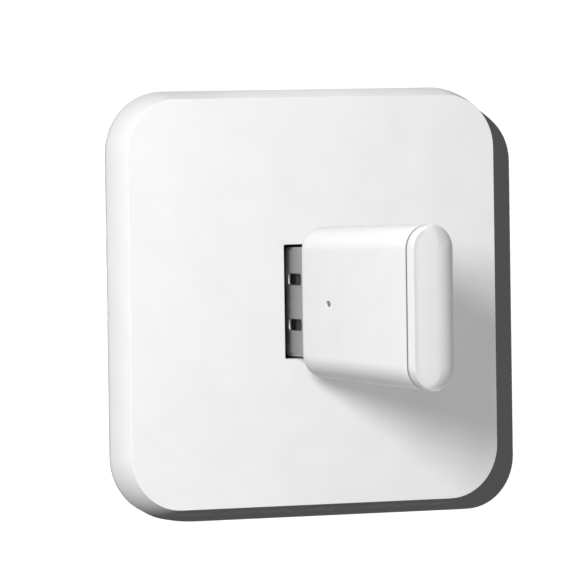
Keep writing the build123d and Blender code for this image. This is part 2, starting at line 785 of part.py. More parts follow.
# Shield can over the radio chip and the crystal
shield_middle = shield_start + can_shield_length / 2
with BuildPart() as shield_can:
    with BuildSketch(facing_left(radio_face)):
        with Locations((shield_middle, 0)):
            RectangleRounded(can_shield_length, can_shield_width, 2 * can_shield_sheet)
    extrude(amount=can_shield_height)
    fillet(shield_can.faces().sort_by(Axis.X)[0].edges(), can_shield_sheet)
    with BuildSketch(facing_left(radio_face)):
        with Locations((shield_middle, 0)):
            RectangleRounded(
                can_shield_length - 2 * can_shield_sheet,
                can_shield_width - 2 * can_shield_sheet,
                can_shield_sheet,
            )
    extrude(amount=can_shield_height - can_shield_sheet, mode=Mode.SUBTRACT)
save(shield_can, "shield_can")


def board_blocks(places, length, width, height, plane=facing_left(radio_face)):
    # Plain moulded or ceramic blocks soldered flat on the board, length along the stick
    with BuildPart() as blocks:
        with BuildSketch(plane):
            with Locations(*places):
                Rectangle(length, width)
        extrude(amount=height)
        chamfer(blocks.edges().filter_by(Axis.X), min(length, width) / 12)
    return blocks


under_can_gap = (can_shield_length - 2 * can_shield_sheet - radio_chip_side - crystal_width) / 3
chip_depth = shield_start + can_shield_sheet + under_can_gap + radio_chip_side / 2
crystal_depth = chip_depth + radio_chip_side / 2 + under_can_gap + crystal_width / 2
antenna_depth = radio_board_end - antenna_edge_gap - antenna_width / 2
led_depth = shield_start + can_shield_length + part_gap
led_z = -(can_shield_width - led_length) / 2
regulator_z = switch_width / 2 + part_gap + regulator_width / 2
small_z = -switch_width / 2 - part_gap
small_row = [(switch_depth + side * part_gap, small_z - n * part_gap) for side in (-1, 1) for n in range(3)]
far_face = Plane(origin=(radio_face + radio_board_thickness, 0, 0), x_dir=(0, -1, 0), z_dir=(1, 0, 0))
save(board_blocks([(chip_depth, 0)], radio_chip_side, radio_chip_side, radio_chip_height), "radio_chip")
save(board_blocks([(crystal_depth, 0)], crystal_width, crystal_length, crystal_height), "crystal")
save(board_blocks([(antenna_depth, 0)], antenna_width, antenna_length, antenna_height), "antenna")
save(board_blocks([(switch_depth, regulator_z)], regulator_length, regulator_width, regulator_height),
     "voltage_regulator")
save(board_blocks([(led_depth, led_z)], led_width, led_length, led_height), "status_led")
save(board_blocks(small_row, tiny_chip_length, tiny_chip_width, tiny_chip_height), "radio_chip_parts")
save(board_blocks([(shield_middle, 0)], memory_chip_side, memory_chip_side, radio_chip_height, far_face),
     "memory_chip")

# Reset switch behind the pin hole: housing, snap dome, retained plunger and cover plate
with BuildPart() as reset_switch_housing:
    with BuildSketch(facing_left(radio_face)):
        with Locations((switch_depth, 0)):
            Rectangle(switch_length, switch_width)
    extrude(amount=switch_height)
    with BuildSketch(facing_left(switch_top)):
        with Locations((switch_depth, 0)):
            Circle(switch_cavity_diameter / 2)
    extrude(amount=-switch_cavity_depth, mode=Mode.SUBTRACT)
save(reset_switch_housing, "reset_switch_housing")

with BuildPart() as reset_switch_cover:
    with BuildSketch(facing_left(switch_top)):
        with Locations((switch_depth, 0)):
            Rectangle(switch_length, switch_width)
            Circle(plunger_diameter / 2 + plunger_running_gap, mode=Mode.SUBTRACT)
    extrude(amount=switch_cover)
save(reset_switch_cover, "reset_switch_cover")

plunger_base = plunger_flange_top + plunger_flange
with BuildPart() as reset_plunger:
    with BuildSketch(facing_left(plunger_base)):
        with Locations((switch_depth, 0)):
            Circle(plunger_flange_diameter / 2)
    extrude(amount=plunger_flange)
    with BuildSketch(facing_left(plunger_base)):
        with Locations((switch_depth, 0)):
            Circle(plunger_diameter / 2)
    extrude(amount=plunger_base - plunger_top)
    fillet(reset_plunger.faces().sort_by(Axis.X)[0].edges(), plunger_rest_gap * 10)
save(reset_plunger, "reset_plunger")

dome_radius = dome_diameter / 2
dome_crown = dome_radius / 3
with BuildPart() as reset_switch_dome:
    with BuildSketch(Plane.XY):
        with BuildLine():
            Polyline(
                (dome_foot, dome_radius - switch_depth),
                (plunger_base, dome_crown - switch_depth),
                (plunger_base, -switch_depth),
                (plunger_base + dome_thickness, -switch_depth),
                (plunger_base + dome_thickness, dome_crown - switch_depth),
                (dome_foot, dome_radius - 2 * dome_thickness - switch_depth),
                close=True,
            )
        make_face()
    revolve(axis=Axis((0, -switch_depth, 0), (1, 0, 0)))
save(reset_switch_dome, "reset_switch_dome")
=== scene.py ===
import json
from math import atan, cos, pi, radians, sin, tan

import bmesh
import bpy
from mathutils import Matrix, Vector

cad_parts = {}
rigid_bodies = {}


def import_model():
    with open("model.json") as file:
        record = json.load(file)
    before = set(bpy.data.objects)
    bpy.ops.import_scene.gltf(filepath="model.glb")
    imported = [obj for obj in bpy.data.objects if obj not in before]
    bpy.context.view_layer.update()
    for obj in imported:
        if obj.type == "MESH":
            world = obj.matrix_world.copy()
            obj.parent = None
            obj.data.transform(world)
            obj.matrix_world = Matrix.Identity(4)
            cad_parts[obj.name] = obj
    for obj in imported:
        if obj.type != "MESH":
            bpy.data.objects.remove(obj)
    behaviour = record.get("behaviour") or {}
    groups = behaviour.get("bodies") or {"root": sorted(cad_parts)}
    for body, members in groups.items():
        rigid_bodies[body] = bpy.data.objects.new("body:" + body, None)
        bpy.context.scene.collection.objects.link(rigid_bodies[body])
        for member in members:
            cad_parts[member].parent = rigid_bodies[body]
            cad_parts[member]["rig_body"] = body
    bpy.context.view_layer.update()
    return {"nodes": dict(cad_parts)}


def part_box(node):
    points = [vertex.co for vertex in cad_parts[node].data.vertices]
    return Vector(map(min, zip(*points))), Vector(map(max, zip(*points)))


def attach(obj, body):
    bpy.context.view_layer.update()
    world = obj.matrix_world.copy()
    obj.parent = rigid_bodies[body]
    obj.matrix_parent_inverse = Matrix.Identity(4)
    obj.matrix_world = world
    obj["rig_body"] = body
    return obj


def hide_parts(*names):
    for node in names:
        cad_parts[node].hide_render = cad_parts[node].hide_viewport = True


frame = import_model()

mm = 0.001
coverLow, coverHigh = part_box("front_cover")
plugLow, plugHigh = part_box("plug_shell")
stickLow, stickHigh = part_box("dongle_body")
capLow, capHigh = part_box("dongle_cap")
baseLow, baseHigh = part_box("rear_base")
plateFront = -coverLow.y / mm
seamGap = 0.25
seamMiddle = -stickLow.y / mm + seamGap / 2
portX = (plugLow.x + plugHigh.x) / 2 / mm
plugWide = (plugHigh.x - plugLow.x) / mm
plugTall = (plugHigh.z - plugLow.z) / mm
creaseAngle = radians(35)


def addObject(name, data):
    item = bpy.data.objects.new(name, data)
    bpy.context.scene.collection.objects.link(item)
    return item


def directionOf(azimuth, elevation):
    # From the object towards a place in front of it, with angles in radians to its right and upwards
    return Vector((sin(azimuth) * cos(elevation), -cos(azimuth) * cos(elevation), sin(elevation)))


# Camera: the plate seen from its left, a little from above, through a long lens
cameraSettings = {
    "azimuth": -0.4567,  # angles in radians, lengths in millimetres
    "elevation": 0.0317,
    "roll": -0.0146,
    "distance": 750.7,
    "target": (-2.755, -5.3, 1.008),
    "focalPixels": 6810.8,
    "imagePixels": 585,
    "sensor": 36.0,
    "nearest": 10.0,
    "farthest": 20000.0,
}


def makeCamera(s):
    data = bpy.data.cameras.new("viewCamera")
    camera = addObject("viewCamera", data)
    azimuth, roll = s["azimuth"], s["roll"]
    back = directionOf(azimuth, s["elevation"])
    level = Vector((cos(azimuth), sin(azimuth), 0))
    above = back.cross(level)
    right = level * cos(roll) + above * sin(roll)
    up = above * cos(roll) - level * sin(roll)
    place = (Vector(s["target"]) + back * s["distance"]) * mm
    turn = Matrix((right, up, back)).transposed().to_4x4()
    camera.matrix_world = Matrix.Translation(place) @ turn
    data.sensor_width = s["sensor"]
    data.lens = s["focalPixels"] * s["sensor"] / s["imagePixels"]
    data.clip_start = s["nearest"] * mm
    data.clip_end = s["farthest"] * mm
    bpy.context.scene.camera = camera


makeCamera(cameraSettings)
print("camera placed")


# Material helpers
def addNode(tree, kind, inputs=None, **settings):
    node = tree.nodes.new(kind)
    for key, value in settings.items():
        setattr(node, key, value)
    for key, value in (inputs or {}).items():
        if isinstance(value, bpy.types.NodeSocket):
            tree.links.new(value, node.inputs[key])
        else:
            node.inputs[key].default_value = value
    return node


def calculate(tree, operation, *values):
    return addNode(tree, "ShaderNodeMath", dict(enumerate(values)), operation=operation).outputs[0]


def startMaterial():
    material = bpy.data.materials.new("finish")
    material.use_nodes = True
    tree = material.node_tree
    return material, tree, tree.nodes["Principled BSDF"]


def objectSpace(tree, scale=(1, 1, 1)):
    coords = addNode(tree, "ShaderNodeTexCoord")
    mapping = addNode(tree, "ShaderNodeMapping", {"Vector": coords.outputs["Object"], "Scale": scale})
    return mapping.outputs["Vector"]


def noiseAt(tree, vector, perMillimetre, detail=2.0, roughness=0.5):
    inputs = {"Vector": vector, "Scale": perMillimetre / mm, "Detail": detail, "Roughness": roughness}
    return addNode(tree, "ShaderNodeTexNoise", inputs).outputs["Fac"]


def spread(tree, value, low, high, fromLow=0.3, fromHigh=0.7):
    node = addNode(tree, "ShaderNodeMapRange", {0: value, 1: fromLow, 2: fromHigh, 3: low, 4: high})
    return node.outputs[0]


def mixColours(tree, factor, first, second):
    node = addNode(tree, "ShaderNodeMix", data_type="RGBA")
    for socket, value in ((node.inputs[0], factor), (node.inputs[6], first), (node.inputs[7], second)):
        if isinstance(value, bpy.types.NodeSocket):
            tree.links.new(value, socket)
        else:
            socket.default_value = value
    return node.outputs[2]


def shade(colour, by=1.0):
    return (colour[0] * by, colour[1] * by, colour[2] * by, 1)


def addBump(tree, shader, height, depthMillimetres):
    inputs = {"Height": height, "Distance": depthMillimetres * mm, "Strength": 1}
    bump = addNode(tree, "ShaderNodeBump", inputs)
    tree.links.new(bump.outputs["Normal"], shader.inputs["Normal"])


def alongStick(tree):
    return addNode(tree, "ShaderNodeSeparateXYZ", {"Vector": objectSpace(tree)}).outputs["Y"]


def shadesOf(tree, pattern, colour, shares):
    # From a darker to a lighter shade of one colour, as the pattern goes from low to high
    return mixColours(tree, spread(tree, pattern, 0, 1), shade(colour, shares[0]), shade(colour, shares[1]))


def varyGloss(tree, shader, pattern, roughness, swing, *patternRange):
    low, high = roughness + swing[0], roughness + swing[1]
    tree.links.new(spread(tree, pattern, low, high, *patternRange), shader.inputs["Roughness"])


# Moulded plastic: an even colour with faint mottling, a fine spark-eroded skin and slow flow waves
plasticSettings = {
    "mottle": (0.985, 1.015),
    "mottlePer": 0.25,  # names that end in Per count a pattern per millimetre
    "wavesPer": 0.12,
    "skinContrast": 0.6,
    "roughnessSwing": (-0.05, 0.05),
    "ior": 1.5,
}


def mouldedPlastic(colour, roughness, grain=9.0, grainDepth=0.004, wave=0.12, gloss=0.5, seam=None):
    s = plasticSettings
    material, tree, shader = startMaterial()
    here = objectSpace(tree)
    colours = shadesOf(tree, noiseAt(tree, here, s["mottlePer"], detail=3.0), colour, s["mottle"])
    if seam:
        # Painted shade: the colour darkens along the groove between the two mouldings, where shade falls
        far = calculate(tree, "ABSOLUTE", calculate(tree, "SUBTRACT", alongStick(tree), -seam["depth"] * mm))
        paintedGrooveShade = spread(tree, far, 1, 0, seam["halfWidth"] * mm, seam["fade"] * mm)
        colours = mixColours(tree, paintedGrooveShade, colours, shade(colour, seam["share"]))
    tree.links.new(colours, shader.inputs["Base Color"])
    fine = noiseAt(tree, here, grain, roughness=s["skinContrast"])
    varyGloss(tree, shader, fine, roughness, s["roughnessSwing"])
    slow = noiseAt(tree, here, s["wavesPer"], detail=1.0)
    heights = calculate(tree, "MULTIPLY_ADD", slow, wave / grainDepth, fine)
    addBump(tree, shader, heights, grainDepth)
    shader.inputs["IOR"].default_value = s["ior"]
    shader.inputs["Specular IOR Level"].default_value = gloss
    return material


# Rolled or drawn metal: fine lines along one direction, smudges, and a slightly uneven gloss
metalSettings = {
    "lineContrast": 0.7,
    "lineShade": 0.82,
    "lineShare": 0.22,
    "smudge": (0.92, 1.02667),
    "smudgesPer": 0.35,
    "roughnessSwing": (-0.07, 0.1),
    "glossRange": (0.15, 0.4),
}


def sheetMetal(colour, roughness, lines=(1, 0.04, 1), linesPer=14.0, depth=0.0008, shadeNearPlate=None):
    s = metalSettings
    material, tree, shader = startMaterial()
    streaks = noiseAt(tree, objectSpace(tree, lines), linesPer, detail=3.0, roughness=s["lineContrast"])
    clouds = noiseAt(tree, objectSpace(tree), s["smudgesPer"], detail=4.0)
    tone = shadesOf(tree, clouds, colour, s["smudge"])
    if shadeNearPlate:
        # Painted shade: darker towards the end that goes in and out of its port, by the plate's opening
        paintedPlateShade = spread(tree, alongStick(tree), 0, 1, shadeNearPlate["shadeFrom"] * mm, shadeNearPlate["dark"] * mm)
        tone = mixColours(tree, paintedPlateShade, tone, shade(colour, shadeNearPlate["share"]))
    lined = mixColours(tree, spread(tree, streaks, 0, s["lineShare"]), tone, shade(colour, s["lineShade"]))
    tree.links.new(lined, shader.inputs["Base Color"])
    uneven = calculate(tree, "MULTIPLY", streaks, clouds)
    varyGloss(tree, shader, uneven, roughness, s["roughnessSwing"], *s["glossRange"])
    shader.inputs["Metallic"].default_value = 1
    addBump(tree, shader, streaks, depth)
    return material


# Lacquered or fired bodies: colour clouds, small specks and a shallow orange-peel skin
coatSettings = {
    "clouds": (0.92, 1.06),
    "cloudsPer": 0.8,
    "speckEdge": (0.05, 0.22),
    "roughnessSwing": (-0.04, 0.06),
    "peelPer": 1.6,
    "coatRoughness": 0.12,
}


def coatedBody(colour, roughness, speck, specksPer, peel, coat=0.0):
    s = coatSettings
    material, tree, shader = startMaterial()
    here = objectSpace(tree)
    cells = addNode(tree, "ShaderNodeTexVoronoi", {"Vector": here, "Scale": specksPer / mm})
    clouds = noiseAt(tree, here, s["cloudsPer"], detail=3.0)
    base = shadesOf(tree, clouds, colour, s["clouds"])
    dots = spread(tree, cells.outputs["Distance"], 1, 0, *s["speckEdge"])
    tree.links.new(mixColours(tree, dots, base, shade(speck)), shader.inputs["Base Color"])
    varyGloss(tree, shader, clouds, roughness, s["roughnessSwing"])
    addBump(tree, shader, noiseAt(tree, here, s["peelPer"]), peel)
    if coat:
        shader.inputs["Coat Weight"].default_value = coat
        shader.inputs["Coat Roughness"].default_value = s["coatRoughness"]
    return material


# Turns of wire or tape that lie side by side along one axis
windingSettings = {
    "wavePhase": 20,  # how far the wave node's phase runs in one unit at a scale of 1
    "distortion": 0.25,
    "clouds": (0.9, 1.08),
    "cloudsPer": 1.1,
    "gapEdge": (0.02, 0.3),
    "roughnessSwing": (-0.05, 0.08),
}


def woundSurface(colour, gap, pitch, roughness, axis="Y", metallic=0.0, depth=0.06):
    s = windingSettings
    material, tree, shader = startMaterial()
    here = objectSpace(tree)
    scale = 2 * pi / s["wavePhase"] / (pitch * mm)
    inputs = {"Vector": here, "Scale": scale, "Distortion": s["distortion"], "Detail": 2}
    turns = addNode(tree, "ShaderNodeTexWave", inputs, bands_direction=axis).outputs["Fac"]
    clouds = noiseAt(tree, here, s["cloudsPer"], detail=3.0)
    body = shadesOf(tree, clouds, colour, s["clouds"])
    between = spread(tree, turns, 1, 0, *s["gapEdge"])
    tree.links.new(mixColours(tree, between, body, shade(gap)), shader.inputs["Base Color"])
    varyGloss(tree, shader, clouds, roughness, s["roughnessSwing"])
    shader.inputs["Metallic"].default_value = metallic
    addBump(tree, shader, turns, depth)
    return material


# Solder mask over copper: angular tracks that stand a little proud, with tinned pads between them
boardSettings = {
    "padsPer": 0.55,
    "padEdge": (0.09, 0.11),
    "tracksPer": 0.9,
    "trackEdge": (0.62, 0.66),
    "trackHeight": 0.03,
    "glossPer": 2.5,
    "roughness": (0.3, 0.42),
}


def maskedBoard(colour, track, pad):
    s = boardSettings
    material, tree, shader = startMaterial()
    here = objectSpace(tree)
    pads = addNode(tree, "ShaderNodeTexVoronoi", {"Vector": here, "Scale": s["padsPer"] / mm},
                   distance="CHEBYCHEV", feature="F1")
    tracks = addNode(tree, "ShaderNodeTexVoronoi", {"Vector": here, "Scale": s["tracksPer"] / mm},
                     distance="MANHATTAN", feature="F2")
    onTrack = spread(tree, tracks.outputs["Distance"], 0, 1, *s["trackEdge"])
    onPad = spread(tree, pads.outputs["Distance"], 1, 0, *s["padEdge"])
    masked = mixColours(tree, onTrack, shade(colour), shade(track))
    tree.links.new(mixColours(tree, onPad, masked, shade(pad)), shader.inputs["Base Color"])
    clouds = noiseAt(tree, here, s["glossPer"])
    tree.links.new(spread(tree, clouds, *s["roughness"]), shader.inputs["Roughness"])
    addBump(tree, shader, onTrack, s["trackHeight"])
    return material


print("material makers ready")

finishes = {
    "coverWhite": mouldedPlastic((0.90, 0.90, 0.90), 0.5, gloss=0.01),
    # The stick's white has a painted shade along the seam's groove
    "stickWhite": mouldedPlastic((0.88, 0.88, 0.88), 0.34, grain=14.0, grainDepth=0.002, wave=0.06,
                                 seam={"depth": seamMiddle, "halfWidth": 0.14, "fade": 0.22, "share": 0.3}),
    "baseWhite": mouldedPlastic((0.84, 0.84, 0.82), 0.55, grain=6.0, grainDepth=0.012),
    # The plug's steel has a painted shade towards the plate's opening
    "plugSteel": sheetMetal((0.40, 0.40, 0.40), 0.42, lines=(1, 0.05, 1), depth=0.0004,
                            shadeNearPlate={"shadeFrom": -9.0, "dark": -5.6, "share": 0.62}),
    "pinNickel": sheetMetal((0.66, 0.65, 0.62), 0.24, lines=(0.08, 1, 0.08), linesPer=22.0),
    "contactGold": sheetMetal((0.80, 0.60, 0.26), 0.28, linesPer=10.0),
    "powerMask": maskedBoard((0.05, 0.22, 0.08), (0.07, 0.30, 0.11), (0.62, 0.61, 0.58)),
    "radioMask": maskedBoard((0.02, 0.12, 0.09), (0.03, 0.17, 0.12), (0.72, 0.58, 0.28)),
    "ferrite": coatedBody((0.055, 0.055, 0.06), 0.62, (0.12, 0.12, 0.12), 2.7, 0.02),
    "bobbin": mouldedPlastic((0.03, 0.03, 0.03), 0.5, grain=7.0, grainDepth=0.008),
    "tape": woundSurface((0.72, 0.50, 0.06), (0.40, 0.26, 0.03), 2.4, 0.34, axis="Z", depth=0.03),
    "enamelWire": woundSurface((0.56, 0.20, 0.06), (0.10, 0.03, 0.01), 0.28, 0.3, metallic=0.7),
    "sleeve": coatedBody((0.02, 0.025, 0.05), 0.3, (0.10, 0.10, 0.12), 1.5, 0.006, coat=0.3),
    "resistorCoat": woundSurface((0.20, 0.42, 0.36), (0.36, 0.05, 0.03), 1.5, 0.5, depth=0.01),
    "discCoat": coatedBody((0.04, 0.16, 0.52), 0.28, (0.10, 0.25, 0.60), 2.1, 0.03, coat=0.5),
    "chipMould": mouldedPlastic((0.022, 0.022, 0.024), 0.58, grain=16.0, grainDepth=0.006),
    "chipCeramic": coatedBody((0.46, 0.34, 0.20), 0.5, (0.62, 0.60, 0.56), 6.0, 0.01),
    "portSteel": sheetMetal((0.50, 0.50, 0.49), 0.34),
    "portPlastic": mouldedPlastic((0.80, 0.80, 0.77), 0.5),
    "plugPlastic": mouldedPlastic((0.03, 0.03, 0.03), 0.55, gloss=0.2),
    "canSteel": sheetMetal((0.62, 0.62, 0.60), 0.3, lines=(1, 1, 0.05)),
    "crystalLid": sheetMetal((0.70, 0.66, 0.56), 0.26, linesPer=20.0),
    "antennaCeramic": coatedBody((0.84, 0.84, 0.80), 0.4, (0.60, 0.60, 0.55), 9.0, 0.01),
    "ledResin": coatedBody((0.86, 0.80, 0.52), 0.2, (0.92, 0.88, 0.62), 3.0, 0.004, coat=0.8),
    "switchPlastic": mouldedPlastic((0.035, 0.035, 0.035), 0.5),
    "switchSteel": sheetMetal((0.64, 0.64, 0.62), 0.28),
    "plungerPlastic": mouldedPlastic((0.20, 0.20, 0.20), 0.5),
}
for finishName, finish in finishes.items():
    finish.name = finishName
print(len(finishes), "finishes made")

solidFinishes = {
    "rear_base": "baseWhite",
    "live_contact_spring": "contactGold", "neutral_contact_spring": "contactGold",
    "main_board": "powerMask", "transformer_core": "ferrite", "transformer_bobbin": "bobbin",
    "transformer_winding": "tape", "input_capacitors": "sleeve", "output_capacitor": "sleeve",
    "fusible_resistor": "resistorCoat", "choke_core": "ferrite", "choke_winding": "enamelWire",
    "y_capacitor": "discCoat", "bridge_rectifier": "chipMould", "controller_chip": "chipMould",
    "output_diode": "chipMould", "board_chip_parts": "chipCeramic", "port_shell": "portSteel",
    "port_insulator": "portPlastic", "port_contacts": "contactGold", "plug_insulator": "plugPlastic",
    "plug_contacts": "contactGold", "radio_board": "radioMask", "shield_can": "canSteel",
    "radio_chip": "chipMould", "memory_chip": "chipMould", "crystal": "crystalLid",
    "antenna": "antennaCeramic", "voltage_regulator": "chipMould", "status_led": "ledResin",
    "radio_chip_parts": "chipCeramic", "reset_switch_housing": "switchPlastic",
    "reset_switch_cover": "switchSteel", "reset_switch_dome": "switchSteel",
    "reset_plunger": "plungerPlastic",
}
for nodeName, finishName in solidFinishes.items():
    nodeMesh = frame["nodes"][nodeName].data
    nodeMesh.materials.clear()
    nodeMesh.materials.append(finishes[finishName])
print("solids dressed")


# Mesh helpers: rings of points, all in millimetres, that are joined into a skin
squareCorners = ((1, 1), (-1, 1), (-1, -1), (1, -1))


def evenly(first, last, steps):
    return [first + step / steps * (last - first) for step in range(steps + 1)]


def quarterTurn(steps):
    return evenly(0, pi / 2, steps)


def roundedRing(width, height, radius, depth, middle=0.0, perCorner=14):
    points = []
    for quarter, (sx, sz) in enumerate(squareCorners):
        cx, cz = sx * (width / 2 - radius), sz * (height / 2 - radius)
        for step in range(perCorner + 1):
            angle = (quarter + step / perCorner) * pi / 2
            points.append(Vector((middle + cx + radius * cos(angle), -depth, cz + radius * sin(angle))))
    return points


def stadiumRing(height, thickness, depth, middle=0.0, perEnd=28, perSide=6):
    radius = thickness / 2
    straight = height / 2 - radius
    points = []
    for end in (1, -1):
        for step in range(perEnd + 1):
            angle = (0 if end > 0 else pi) + step / perEnd * pi
            x, z = radius * cos(angle), radius * sin(angle)
            points.append(Vector((middle + x, -depth, end * straight + z)))
        for step in range(1, perSide):
            z = end * straight * (1 - 2 * step / perSide)
            points.append(Vector((middle - end * radius, -depth, z)))
    return points


def joinRings(mesh, rings, loop=False):
    rows = [[mesh.verts.new(point * mm) for point in ring] for ring in rings]
    pairs = list(zip(rows, rows[1:]))
    if loop:
        pairs.append((rows[-1], rows[0]))
    for first, second in pairs:
        count = len(first)
        for i in range(count):
            mesh.faces.new((first[i], first[(i + 1) % count], second[(i + 1) % count], second[i]))
    return rows


def closeEnds(mesh, rows):
    mesh.faces.new(rows[0])
    mesh.faces.new(rows[-1])


def turnedRings(middle, profile, sides=48):
    # One circle round an axis along Y for each point of the profile, which is a radius and a place
    rows = []
    for out, y in profile:
        angles = [k / sides * 2 * pi for k in range(sides)]
        rows.append([Vector((middle + out * cos(angle), y, out * sin(angle))) for angle in angles])
    return rows


def smoothFaces(mesh):
    for face in mesh.faces:
        face.smooth = True
    for edge in mesh.edges:
        edge.smooth = edge.calc_face_angle(0) < creaseAngle


def storeMesh(mesh, name):
    data = bpy.data.meshes.new(name)
    mesh.to_mesh(data)
    mesh.free()
    return data


def finishPiece(mesh, name, finishName, body, replaced=()):
    bmesh.ops.remove_doubles(mesh, verts=mesh.verts, dist=1e-7)
    bmesh.ops.dissolve_degenerate(mesh, edges=mesh.edges, dist=1e-7)
    bmesh.ops.recalc_face_normals(mesh, faces=mesh.faces)
    smoothFaces(mesh)
    return placePiece(storeMesh(mesh, name), name, finishName, body, replaced)


def placePiece(data, name, finishName, body, replaced=()):
    data.materials.clear()
    data.materials.append(finishes[finishName])
    piece = addObject(name, data)
    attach(piece, body)
    if replaced:
        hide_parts(*replaced)
    return piece


def flattenShading(piece):
    # Large flat faces keep their own normal, so that only the rounded edges shade
    modifier = piece.modifiers.new("flatFaces", "WEIGHTED_NORMAL")
    modifier.keep_sharp = True
    modifier.weight = 100


def plainMesh(piece, modifier):
    # The mesh as the modifier leaves it, with the modifier then taken off
    bpy.context.view_layer.update()
    evaluated = piece.evaluated_get(bpy.context.evaluated_depsgraph_get())
    data = bpy.data.meshes.new_from_object(evaluated)
    piece.modifiers.remove(modifier)
    return data


def cutWith(piece, cutMesh, cutName):
    # Takes the cutter's shape out of the piece
    bmesh.ops.recalc_face_normals(cutMesh, faces=cutMesh.faces)
    cutter = addObject(cutName, storeMesh(cutMesh, cutName))
    modifier = piece.modifiers.new("cut", "BOOLEAN")
    modifier.operation = "DIFFERENCE"
    modifier.solver = "EXACT"
    modifier.object = cutter
    data = plainMesh(piece, modifier)
    old = piece.data
    piece.data = data
    data.name = old.name
    bpy.data.meshes.remove(old)
    bpy.data.objects.remove(cutter)
    markSharp(piece)


def markSharp(piece):
    mesh = bmesh.new()
    mesh.from_mesh(piece.data)
    smoothFaces(mesh)
    mesh.to_mesh(piece.data)
    mesh.free()


# Wall plate: a flared square shell, open at the back, with the port's opening in its front
coverSettings = {
    "frontSide": 45.0,
    "cornerRadius": 5.9,
    "frontRound": 0.04,
    "sideTurn": 13.5,
    "edgeLand": 0.25,
    "rearRound": 1.5,
    "rearLand": 0.15,
    "waistDepth": 1.6,
    "frontWall": 1.7,
    "sideWall": 1.9,
    "openingWidth": 5.25,
    "openingHeight": 12.6,
    "openingRadius": 0.2,
    "openingRound": 0.06,
    "openingLand": 0.8,
    "portSetback": 0.8,
    "portPocketWidth": 5.95,
    "portPocketHeight": 13.3,
    "portPocketRadius": 0.1,
}


def makeCover(s):
    front, waist = plateFront, s["waistDepth"]
    waistSide = (coverHigh.x - coverLow.x) / mm
    flare = (waistSide - s["frontSide"]) / 2
    # The side wall is one shallow arc from the waist to the front face
    middle = atan(flare / (front - waist))
    halfTurn = radians(s["sideTurn"]) / 2
    first, slope = middle - halfTurn, middle + halfTurn
    barrel = (front - waist) / (sin(slope) - sin(first))
    arcEnd = slope - 0.01  # just short of the front edge's round
    frontCut = s["frontRound"] * tan((pi / 2 - slope) / 2)
    inner = front - s["frontWall"]
    cavitySide = s["frontSide"] - 2 * s["sideWall"]
    cavity = (cavitySide, cavitySide, s["cornerRadius"] - s["sideWall"])

    def square(grow, depth):
        # Grow is how far this ring stands outside the front face's outline
        side = s["frontSide"] + 2 * grow
        return roundedRing(side, side, s["cornerRadius"] + grow, depth)

    def opening(grow, depth):
        wide, high = s["openingWidth"] + 2 * grow, s["openingHeight"] + 2 * grow
        return roundedRing(wide, high, s["openingRadius"] + grow, depth, portX)

    rear = s["rearRound"]
    rings = [roundedRing(*cavity, 0.0), square(flare - rear - s["rearLand"], 0.0)]
    for angle in quarterTurn(6):
        rings.append(square(flare - rear + rear * sin(angle), rear * (1 - cos(angle))))
    for angle in evenly(first, arcEnd, 12):
        place = waist + barrel * (sin(angle) - sin(first))
        rings.append(square(flare - barrel * (cos(first) - cos(angle)), place))
    for angle in evenly(slope, pi / 2, 6):
        outward = frontCut * sin(slope) - s["frontRound"] * (cos(slope) - cos(angle))
        depth = front - frontCut * cos(slope) + s["frontRound"] * (sin(angle) - sin(slope))
        rings.append(square(outward, depth))
    rings.append(square(-frontCut - s["edgeLand"], front))

    roll = s["openingRound"]
    rings.append(opening(s["openingLand"], front))
    for angle in quarterTurn(4):
        rings.append(opening(roll * (1 - sin(angle)), front - roll * (1 - cos(angle))))
    pocketDepth = front - s["portSetback"]
    rings.append(opening(0, pocketDepth))
    pocket = (s["portPocketWidth"], s["portPocketHeight"], s["portPocketRadius"])
    rings.append(roundedRing(*pocket, pocketDepth, portX))
    rings.append(roundedRing(*pocket, inner, portX))
    rings.append(roundedRing(*cavity, inner))
    mesh = bmesh.new()
    joinRings(mesh, rings, loop=True)
    cover = finishPiece(mesh, "cover_shell", "coverWhite", "adapter", ["front_cover"])
    flattenShading(cover)
    return cover


cover = makeCover(coverSettings)
print("wall plate shell made")


# Stick housing: stadium section that grows towards the cap, with the plug's pocket and the pin hole
stickSettings = {
    "plugEndHeight": 16.55,
    "wall": 0.7,
    "endWall": 1.0,
    "plugEndRound": 0.6,
    "plugEndLand": 0.12,
    "sideRings": (0.04, 0.5, 0.96),
    "seamRound": 0.05,
    "plugClearance": 0.05,
    "pinHoleFromEnd": 6.8,
    "pinHoleLong": 1.1,
    "pinHoleHigh": 0.7,
    "pinHoleFlare": 0.03,
    "cutOutside": 0.5,
    "cutInside": 0.3,
}
stickStart = -stickHigh.y / mm
stickSeam = -stickLow.y / mm
seamHeight = (stickHigh.z - stickLow.z) / mm
stickThickness = (stickHigh.x - stickLow.x) / mm
heightGrowth = (seamHeight - stickSettings["plugEndHeight"]) / (stickSeam - stickStart)


def stickRing(inset, depth):
    height = stickSettings["plugEndHeight"] + heightGrowth * (depth - stickStart)
    return stadiumRing(height - 2 * inset, stickThickness - 2 * inset, depth, portX)


def ovalRing(long, high, grow, into):
    # A ring round the pin hole's axis, so far under the housing's broad face
    x = portX - stickThickness / 2 + into
    depth = stickStart + stickSettings["pinHoleFromEnd"]
    sides = 32
    points = []
    for k in range(sides):
        angle = k / sides * 2 * pi
        points.append(Vector((x, (long / 2 + grow) * cos(angle) - depth, (high / 2 + grow) * sin(angle))))
    return points


